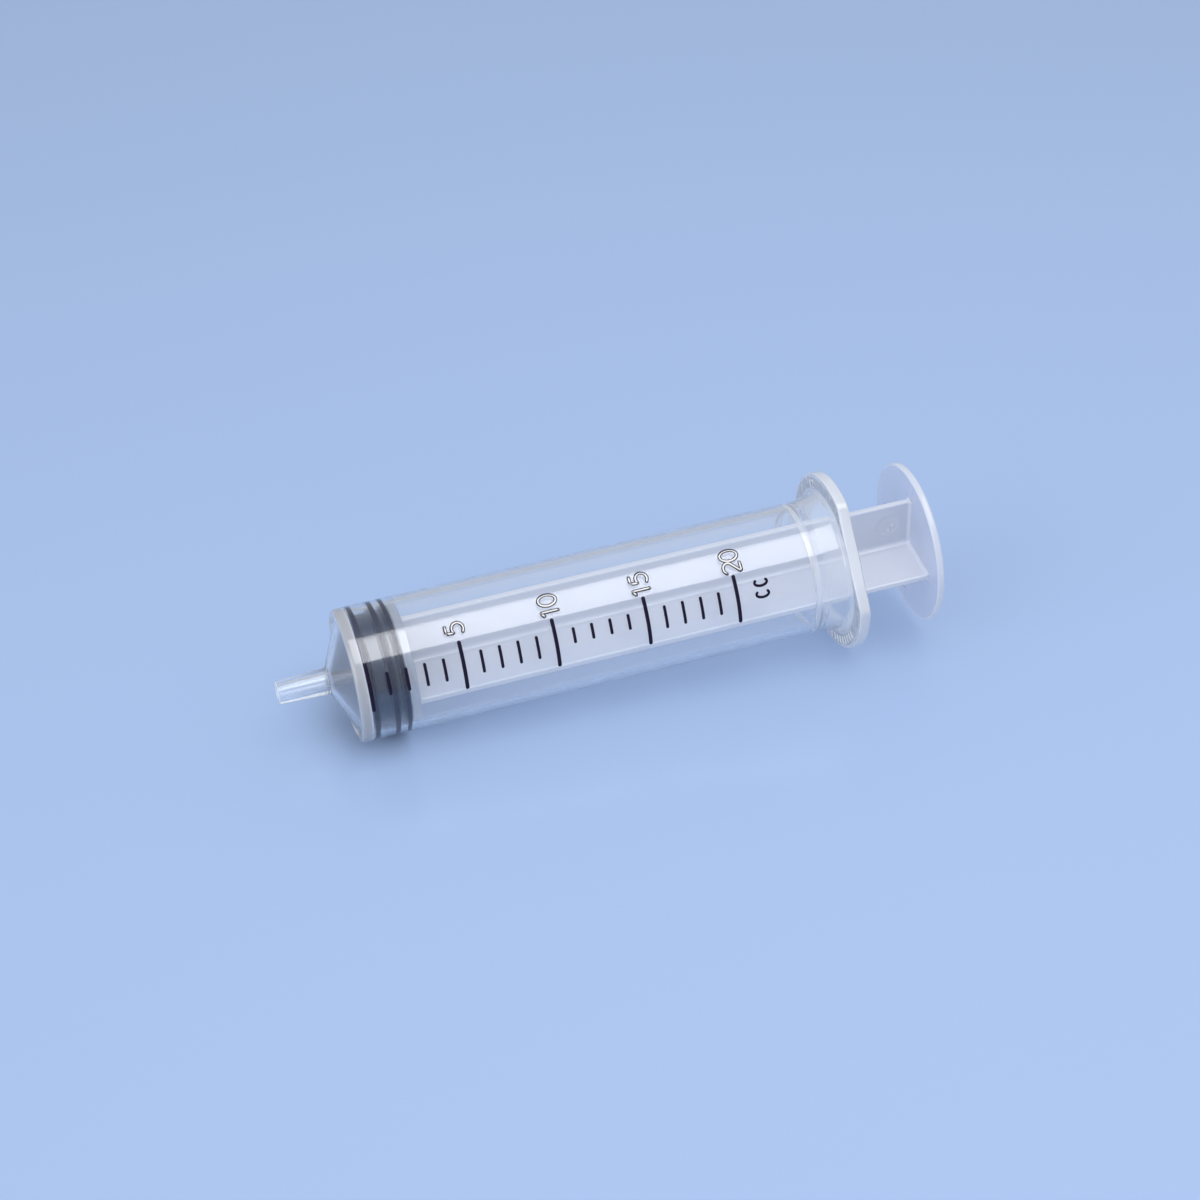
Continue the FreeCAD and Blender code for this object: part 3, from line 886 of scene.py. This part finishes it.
@dataclass
class Stopper:
    """The rubber stopper: front cone, three sealing ribs and the knob's socket.

    The ribs press a hair into the wall, as oiled rubber wets it. Without an air gap they
    look dark up to the barrel's edge. The grooves get a paler rubber, a painted
    reflection of the bore across their air gap.
    """

    place: Matrix
    radius: float = BORE_RADIUS + 0.01
    rib_width: float = 0.95
    rib_starts: tuple[float, ...] = (3.4, 5.4)
    groove_depth: float = 0.61
    groove_slope: float = 0.25
    shoulder_depth: float = 0.56
    apex_radius: float = 1.6
    front_gap_x: float = 1.5 / math.cos(NOSE_SLOPE)
    socket_radius: float = 4.0
    neck_radius: float = 2.8
    chamfer: float = 1.1

    def corners(self) -> list[Corner]:
        """The half profile's corners, from the front's middle to the socket's."""
        groove = self.radius - self.groove_depth
        shoulder = self.radius - self.shoulder_depth
        front_disc_x = STOPPER_REAR_X + 0.1
        socket_rear = front_disc_x - 1.5
        socket_front = front_disc_x - 4.7
        second, third = self.rib_starts
        return [
            Corner(nose_x(self.apex_radius) + self.front_gap_x, 0.0),
            Corner(nose_x(self.apex_radius) + self.front_gap_x, self.apex_radius, 0.5),
            Corner(nose_x(shoulder) + self.front_gap_x, shoulder, 0.3),
            Corner(0.0, self.radius, 0.25),
            Corner(self.rib_width, self.radius, 0.2),
            Corner(self.rib_width + self.groove_slope, groove, 0.2),
            Corner(second - self.groove_slope, groove, 0.2),
            Corner(second, self.radius, 0.2),
            Corner(second + self.rib_width, self.radius, 0.2),
            Corner(second + self.rib_width + self.groove_slope, groove, 0.15),
            Corner(third - self.groove_slope, groove, 0.15),
            Corner(third, self.radius, 0.2),
            Corner(STOPPER_REAR_X, self.radius, 0.25),
            Corner(STOPPER_REAR_X, self.neck_radius, 0.1),
            Corner(socket_rear, self.neck_radius, 0.1),
            Corner(socket_rear, self.socket_radius, 0.1),
            Corner(socket_front + self.chamfer, self.socket_radius, 0.1),
            Corner(socket_front, self.socket_radius - self.chamfer, 0.1),
            Corner(socket_front, 0.0),
        ]

    def painted_groove_reflection(self, middles: np.ndarray) -> np.ndarray:
        """Picks the paler rubber for the grooves, which an air gap parts from the bore: a
        painted reflection of the bore's face.
        """
        radius = np.hypot(middles[:, 1], middles[:, 2])
        inside = (middles[:, 0] > self.rib_width) & (middles[:, 0] < STOPPER_REAR_X - 0.3)
        low = (radius < self.radius - 0.12) & (radius > self.socket_radius + 2.0)
        return (inside & low).astype(np.int32)

    def dress(self) -> bpy.types.Object:
        """Turns the profile about the axis and gives the stopper its finish."""
        run = rounded_run(self.corners(), closed=False, steps=5, hold=0.08)
        turn = np.linspace(0.0, FULL_TURN, 240, endpoint=False)[None, :]
        surface = Surface()
        surface.add(around(run[:, :1], run[:, 1:], turn))
        piece = surface.piece("rubber_stopper", self.place,
                              [RIB_RUBBER.material(), GROOVE_REFLECTION_RUBBER.material()],
                              self.painted_groove_reflection)
        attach(piece, "stopper")
        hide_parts("stopper")
        return piece


@dataclass
class PlungerRod:
    """The milky moulding: knob, front disc, cross-shaped rod and thumb disc."""

    place: Matrix
    turn: float = 40.5
    fin_radius: float = 9.5
    edge_half: float = 0.5
    root_half: float = 0.75
    edge_round: float = 0.2
    root_round: float = 0.7
    front_disc_x: float = STOPPER_REAR_X + 0.1
    fins_x: float = STOPPER_REAR_X + 1.6
    front_disc_radius: float = 9.95
    thumb_x: float = 96.5
    thumb_radius: float = 13.647
    thumb_thickness: float = 1.25
    foot_height: float = 0.45
    mark_x: float = 92.4
    mark_from_axis: float = 5.4
    mark_radius: float = 2.1
    mark_depth: float = 0.12
    mark_edge: float = 0.45
    mark_step: float = 0.1
    pips: tuple[tuple[float, float], ...] = ((1.1, -0.35), (0.25, -1.25))
    pip_radius: float = 0.24
    pip_height: float = 0.26

    def eighth(self, growth: float) -> np.ndarray:
        """An eighth of the cross-shaped outline, from a fin's middle to the diagonal.

        The fin's end is flat, its corner a quarter circle, its side a straight taper and
        its root an arc tangent to both sides.

        Args:
            growth: How far the sides are moved out, in mm. The fin's end moves a tenth.

        Returns:
            Points as (along the fin, across it), one row each.
        """
        half, reach = self.edge_half + growth, self.fin_radius + 0.1 * growth
        taper = (self.root_half - self.edge_half) / self.fin_radius
        slant = math.hypot(1.0, taper)
        middle = (half + taper * reach + self.root_round * slant) / (1.0 + taper)
        near = middle - self.root_round * taper / slant
        round_turn = np.linspace(0.0, math.pi / 2, 6)
        end = np.array([[reach, 0.0], [reach, (half - self.edge_round) * 0.7]])
        corner = np.stack([reach - self.edge_round * (1.0 - np.cos(round_turn)),
                           half - self.edge_round * (1.0 - np.sin(round_turn))], axis=-1)
        along = np.concatenate([[reach - self.edge_round - 0.12],
                                np.linspace(reach - 0.6, near + 0.12, 60), [near]])
        side = np.stack([along, half + taper * (reach - along)], axis=-1)
        start = math.atan2(side[-1, 1] - middle, side[-1, 0] - middle)
        turn = np.linspace(start, -0.75 * math.pi, 7)[1:]
        root = middle + self.root_round * np.stack([np.cos(turn), np.sin(turn)], axis=-1)
        return np.concatenate([end, corner, side, root])

    def cross(self, growth: float) -> np.ndarray:
        """The whole cross-shaped outline as (across, up) points in order round the axis."""
        eighth = self.eighth(growth)
        mirrored = eighth[-2:0:-1, ::-1]
        quarter = np.concatenate([eighth, mirrored])
        turns = np.arange(4) * math.pi / 2
        c, s = np.cos(turns)[:, None, None], np.sin(turns)[:, None, None]
        a, b = quarter[None, :, :1], quarter[None, :, 1:]
        return np.concatenate([a * c - b * s, a * s + b * c], axis=-1).reshape(-1, 2)

    def rings(self, run: np.ndarray, directions: np.ndarray) -> np.ndarray:
        """Round rings along a half profile, at the given directions."""
        x = np.broadcast_to(run[:, :1, None], (len(run), len(directions), 1))
        return np.concatenate([x, run[:, 1][:, None, None] * directions[None]], axis=-1)

    def mark(self, grid: np.ndarray) -> np.ndarray:
        """Presses the ejector pin's round mark and its two pips into one fin's face.

        Depth falls in a smooth step over the mark's edge, measured from its centre.

        Args:
            grid: The fins' rows of points as (x, a, b), with the marked fin along +b.

        Returns:
            The grid with the mark in it.
        """
        x, a, b = grid[..., 0], grid[..., 1], grid[..., 2]
        away = np.hypot(x - self.mark_x, b - self.mark_from_axis)
        fall = (self.mark_radius - away) / self.mark_edge
        depth = self.mark_depth * np.clip(fall, 0.0, 1.0)
        for pip_x, pip_b in self.pips:
            spot = np.hypot(x - self.mark_x - pip_x, b - self.mark_from_axis - pip_b)
            depth = depth - self.pip_height * np.exp(-(spot / self.pip_radius) ** 2)
        on_face = (a < 0.0) & (a > -1.0) & (b > 2.5)
        moved = grid.copy()
        moved[..., 1] = a + np.where(on_face, depth, 0.0)
        return moved

    def edges(self, middles: np.ndarray) -> np.ndarray:
        """Picks the plastic of each part of the rod.

        It is whiter at the fins' ends and feet, the mark's pips and the thumb disc's rim,
        and clearer in the thumb disc and at the front disc's rim. The whiter plastic at the
        fins' ends, the pips and the thumb disc's rim is a painted highlight of their bright
        edges and glints.
        """
        x = middles[:, 0]
        radius = np.hypot(middles[:, 1], middles[:, 2])
        turn = math.radians(self.turn)
        out = middles[:, 2] * math.cos(turn) - middles[:, 1] * math.sin(turn)
        pips = np.zeros(len(x), bool)
        for pip_x, pip_out in self.pips:
            away = np.hypot(x - self.mark_x - pip_x, out - self.mark_from_axis - pip_out)
            pips |= (away < self.pip_radius) & (radius < self.fin_radius)
        fin_end = (x > self.fins_x) & (x < self.thumb_x - 0.5) \
            & (radius > self.fin_radius - 0.25)
        foot = (x > self.thumb_x - 0.5) & (x < self.thumb_x - 0.01) & (radius < 10.2)
        rim = (x > self.thumb_x + 0.02) & (x < self.thumb_x + self.thumb_thickness - 0.02)
        thumb = (x > self.thumb_x - 0.01) & ~rim
        disc = (x < self.fins_x + 0.01) & (radius > self.front_disc_radius - 0.6)
        # EDGE at the fins' ends, the pips and the thumb disc's rim is a painted highlight.
        return np.select([disc, fin_end | foot | rim | pips, thumb],
                         [RodGrade.CLEAR, RodGrade.EDGE, RodGrade.DISC],
                         RodGrade.MILKY).astype(np.int32)

    def dress(self) -> bpy.types.Object:
        """Builds the rod as one closed grid and gives it its finish.

        Every row has the same number of points: round rings for the knob and discs, and
        the cross-shaped outline for the fins, so that each disc's face fills the space
        between the two. The ring next to the fins has the outline's own directions, and
        the others are evenly divided.

        Returns:
            The rod's object.
        """
        cross = self.cross(0.0)
        own = cross / np.linalg.norm(cross, axis=1, keepdims=True)
        turn = np.arange(len(cross)) * FULL_TURN / len(cross)
        even = np.stack([np.cos(turn), np.sin(turn)], axis=-1)
        knob_x, head_x = self.front_disc_x - 4.6, self.front_disc_x - 1.6
        front = rounded_run([
            Corner(knob_x, 0.0), Corner(knob_x, 2.8, 0.15), Corner(knob_x + 1.1, 3.9, 0.15),
            Corner(head_x, 3.9, 0.15), Corner(head_x, 2.7, 0.15),
            Corner(self.front_disc_x, 2.7, 0.15),
            Corner(self.front_disc_x, self.front_disc_radius, 0.25),
            Corner(self.fins_x, self.front_disc_radius, 0.25), Corner(self.fins_x, 9.6)],
            closed=False)
        rear_x = self.thumb_x + self.thumb_thickness
        rear = rounded_run([
            Corner(self.thumb_x, 10.6), Corner(self.thumb_x, self.thumb_radius, 0.4),
            Corner(rear_x, self.thumb_radius, 0.4), Corner(rear_x, 0.0)], closed=False)
        mark_start = self.mark_x - self.mark_radius
        stations = np.concatenate([
            self.fins_x + np.array([0.0, 0.05, 0.15, 0.3, 0.45]),
            np.linspace(12.0, mark_start - 0.3, 20),
            np.arange(mark_start - 0.2, self.mark_x + self.mark_radius + 0.2,
                      self.mark_step),
            self.thumb_x - np.array([0.9, 0.6, 0.45, 0.3, 0.15, 0.05, 0.0])])
        to_disc = np.minimum(stations - self.fins_x, self.thumb_x - stations)
        growth = self.foot_height * np.clip(1.0 - to_disc / self.foot_height, 0.0, 1.0) ** 2
        at_front = stations < self.thumb_x / 2
        growth = np.where(at_front, growth * 0.5, growth)
        rows = []
        for x, grown in zip(stations, growth):
            outline = self.cross(float(grown))
            rows.append(np.column_stack([np.full(len(outline), x), outline]))
        fins = np.stack(rows)
        c, s = math.cos(math.radians(self.turn)), math.sin(math.radians(self.turn))
        grid = np.concatenate([self.rings(front[:-1], even), self.rings(front[-1:], own),
                               self.mark(fins), self.rings(rear[:1], own),
                               self.rings(rear[1:], even)])
        a, b = grid[..., 1].copy(), grid[..., 2].copy()
        grid[..., 1], grid[..., 2] = a * c - b * s, a * s + b * c
        surface = Surface()
        surface.add(grid)
        piece = surface.piece("plunger_moulding", self.place,
                              [ROD_FINISHES[grade].material() for grade in RodGrade],
                              self.edges)
        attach(piece, "plunger_rod")
        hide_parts("plunger_rod")
        return piece


@dataclass
class Print:
    """The printed scale: its lines, its numerals and its unit."""

    place: Matrix
    pitch: float = 1000.0 / (math.pi * BORE_RADIUS ** 2)
    film: float = 0.05
    line_turn: float = 10.4
    long_length: float = 8.4
    short_length: float = 3.95
    clipped_length: float = 2.7
    short_inset: float = 2.2
    long_width: float = 0.65
    short_width: float = 0.52
    numeral_pen: Lettering = Lettering(2.96, 1.95, 2.2, 0.60)
    unit_pen: Lettering = Lettering(2.15, 1.2, 1.95, 0.46)
    numeral_feet: tuple[tuple[str, float, float], ...] = (
        ("5", 17.2, -16.6), ("10", 33.1, -10.9), ("15", 48.7, -10.6), ("20", 64.4, -12.2))
    unit_foot: tuple[float, float] = (67.8, 13.2)
    capacity: int = 20
    long_every: int = 5
    clipped: tuple[int, ...] = (11, 12, 13, 14)
    line_points: int = 24

    @staticmethod
    def wrapped(place: np.ndarray, height: np.ndarray) -> np.ndarray:
        """Points on the barrel for stations, distances round it and heights over it."""
        return around(place[..., 0], BARREL_RADIUS + height, place[..., 1] / BARREL_RADIUS)

    def written(self, pen: Lettering, text: str, foot_x: float,
                turn: float) -> list[Stroke]:
        """A word that is read round the barrel, with its tops to the tip.

        Args:
            pen: The lettering.
            text: The characters.
            foot_x: Station of the pen path's feet.
            turn: Turn, in degrees, of the first character's left edge.

        Returns:
            The strokes.
        """
        corner = (foot_x, math.radians(turn) * BARREL_RADIUS)
        return pen.word(text, corner, (0.0, -1.0), (-1.0, 0.0))

    def lines(self) -> list[Stroke]:
        """One line round the barrel for each millilitre, longer at every fifth."""
        middle = math.radians(self.line_turn) * BARREL_RADIUS
        low = middle - self.long_length / 2
        strokes = []
        for count in range(self.capacity + 1):
            start, length = low + self.short_inset, self.short_length
            width = self.short_width
            if count % self.long_every == 0:
                start, length, width = low, self.long_length, self.long_width
            elif count in self.clipped:
                length = self.clipped_length
            along = np.linspace(start, start + length, self.line_points)
            station = np.full(self.line_points, count * self.pitch)
            strokes.append(Stroke(np.stack([station, along], axis=-1), width))
        return strokes

    def piece(self, name: str, strokes: list[Stroke],
              inks: Sequence[bpy.types.Material]) -> bpy.types.Object:
        """One piece of print from its strokes, each ribbon's top in the last ink."""
        surface = Surface()
        for stroke in strokes:
            surface.add(stroke.ribbon(self.film, self.wrapped), wrap_rows=stroke.closed,
                        caps=not stroke.closed)
        piece = surface.piece(name, self.place, inks, self.tops if len(inks) > 1 else None)
        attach(piece, "barrel")
        return piece

    def tops(self, middles: np.ndarray) -> np.ndarray:
        """Picks the glossy ink for the ribbons' flat tops and the dull, darker one for the
        rest, a painted shade outline on their sloping edges.
        """
        high = np.hypot(middles[:, 1], middles[:, 2]) > BARREL_RADIUS + 0.75 * self.film
        return np.where(high, InkGrade.TOP, InkGrade.EDGE).astype(np.int32)

    def dress(self) -> list[bpy.types.Object]:
        """Builds the lines with the unit in dull ink, and the numerals in a glossier one with
        a painted shade outline.
        """
        marks = self.lines() + self.written(self.unit_pen, "cc", *self.unit_foot)
        lines = self.piece("scale_lines", marks, [LINE_INK.material()])
        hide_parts("scale_marks")
        numerals = [stroke for text, foot_x, turn in self.numeral_feet
                    for stroke in self.written(self.numeral_pen, text,
                                               foot_x - self.numeral_pen.stroke / 2, turn)]
        return [lines, self.piece("scale_numerals", numerals,
                                  [SHADE_EDGE_INK.material(), TOP_INK.material()])]


@dataclass
class Studio:
    """The floor, the light and the camera, none of them part of the syringe."""

    floor_radius: float = 4.0
    floor_colour: tuple[float, float, float] = (0.38, 0.51, 0.76)
    floor_cloud: float = 1.03
    floor_roughness: float = 0.22
    sky_colour: tuple[float, float, float] = (0.86, 0.91, 1.0)
    sky_strength: float = 0.56
    softbox_elevation: float = 75.5
    softbox_distance: float = 0.62
    softbox_x: float = 0.115
    softbox_aim_z: float = 0.012
    softbox_size: tuple[float, float] = (0.36, 0.488)
    softbox_watts: float = 2.0
    side_watts: float = 5.0
    camera_place: tuple[float, float, float] = (-0.108355, -0.353651, 0.286636)
    camera_aim: tuple[float, float, float] = (-0.000092, 0.002167, 0.014777)
    camera_roll: float = -1.0085
    camera_lens: float = 82.79
    camera_sensor: float = 36.0

    def floor(self) -> bpy.types.Object:
        """A wide round sheet with a soft sheen, just under the syringe."""
        turn = np.linspace(0.0, FULL_TURN, 96, endpoint=False)
        radius = np.array([0.0, 0.2, 0.6, 1.5, self.floor_radius])[:, None]
        surface = Surface()
        surface.add(np.stack([radius * np.cos(turn), radius * np.sin(turn),
                              np.zeros((len(radius), len(turn)))], axis=-1))
        material, nodes = new_material("floor sheet")
        where = nodes.add("ShaderNodeTexCoord")
        clouds = nodes.add("ShaderNodeTexNoise", Vector=where.outputs["Object"], Scale=3.0)
        paler = [part * self.floor_cloud for part in self.floor_colour]
        colour = nodes.blend(clouds.outputs["Fac"], self.floor_colour, paler)
        sheen = nodes.add("ShaderNodeBsdfPrincipled", Base_Color=colour,
                          Roughness=self.floor_roughness, IOR=1.5)
        nodes.add("ShaderNodeOutputMaterial", Surface=sheen.outputs[0])
        sheet = surface.piece("floor", Matrix.Identity(4), [material])
        return sheet

    def lamp(self, name: str, place: tuple[float, float, float],
             aim: tuple[float, float, float], size: tuple[float, float],
             watts: float, colour: tuple[float, float, float]) -> bpy.types.Object:
        """A rectangular soft lamp, its first side level and along the syringe.

        Args:
            name: The lamp's name.
            place: Its middle.
            aim: The point that it faces.
            size: Its length and width in metres.
            watts: Its power.
            colour: Its colour.

        Returns:
            The lamp's object.
        """
        data = bpy.data.lights.new(name, "AREA")
        data.shape = "RECTANGLE"
        data.size, data.size_y = size
        data.energy = watts
        data.color = colour
        lamp = bpy.data.objects.new(name, data)
        bpy.context.scene.collection.objects.link(lamp)
        back = (Vector(place) - Vector(aim)).normalized()
        along = Vector((1.0, 0.0, 0.0))
        along = (along - back * along.dot(back)).normalized()
        across = back.cross(along)
        turned = Matrix((along, across, back)).transposed().to_4x4()
        lamp.matrix_world = Matrix.Translation(place) @ turned
        return lamp

    def light(self) -> None:
        """A long softbox over the syringe, a weak fill and a pale sky."""
        elevation = math.radians(self.softbox_elevation)
        away = self.softbox_distance
        middle = Vector((self.softbox_x, -away * math.cos(elevation),
                         away * math.sin(elevation)))
        self.lamp("softbox", tuple(middle), (self.softbox_x, 0.0, self.softbox_aim_z),
                  self.softbox_size, self.softbox_watts, (1.0, 1.0, 1.0))
        self.lamp("side lamp", (-0.9, -0.35, 0.45), (0.0, 0.0, 0.0), (0.8, 0.8),
                  self.side_watts, (0.97, 0.98, 1.0))
        world = bpy.data.worlds.new("studio")
        bpy.context.scene.world = world
        world.use_nodes = True
        nodes = Nodes(world.node_tree)
        sky = nodes.add("ShaderNodeBackground", Color=(*self.sky_colour, 1.0),
                        Strength=self.sky_strength)
        nodes.add("ShaderNodeOutputWorld", Surface=sky.outputs[0])

    def camera(self) -> None:
        """The camera at the photograph's viewing angle, level but for a slight roll."""
        data = bpy.data.cameras.new("camera")
        data.sensor_width = self.camera_sensor
        data.sensor_fit = "HORIZONTAL"
        data.lens = self.camera_lens
        data.clip_start = 0.01
        camera = bpy.data.objects.new("camera", data)
        bpy.context.scene.collection.objects.link(camera)
        look = Vector(self.camera_aim) - Vector(self.camera_place)
        roll = Quaternion((0.0, 0.0, 1.0), math.radians(self.camera_roll))
        turned = look.to_track_quat("-Z", "Y") @ roll
        camera.matrix_world = Matrix.Translation(self.camera_place) \
            @ turned.to_matrix().to_4x4()
        bpy.context.scene.camera = camera

    def build(self) -> None:
        """Sets the floor, the light, the camera and the plain view settings."""
        self.floor()
        self.light()
        self.camera()
        bpy.context.scene.view_settings.view_transform = "Standard"
        cycles = bpy.context.scene.cycles
        cycles.transparent_max_bounces = 24
        cycles.max_bounces = 24
        cycles.transmission_bounces = 24


def main() -> None:
    """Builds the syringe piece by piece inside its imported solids, then the studio."""
    logging.basicConfig(level=logging.INFO, format="%(name)s: %(message)s")
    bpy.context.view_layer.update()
    place = syringe_place()
    for part in (Barrel(place), Stopper(place), PlungerRod(place), Print(place)):
        part.dress()
        log.info("%s is dressed", type(part).__name__)
    Studio().build()


if __name__ == "__main__":
    main()
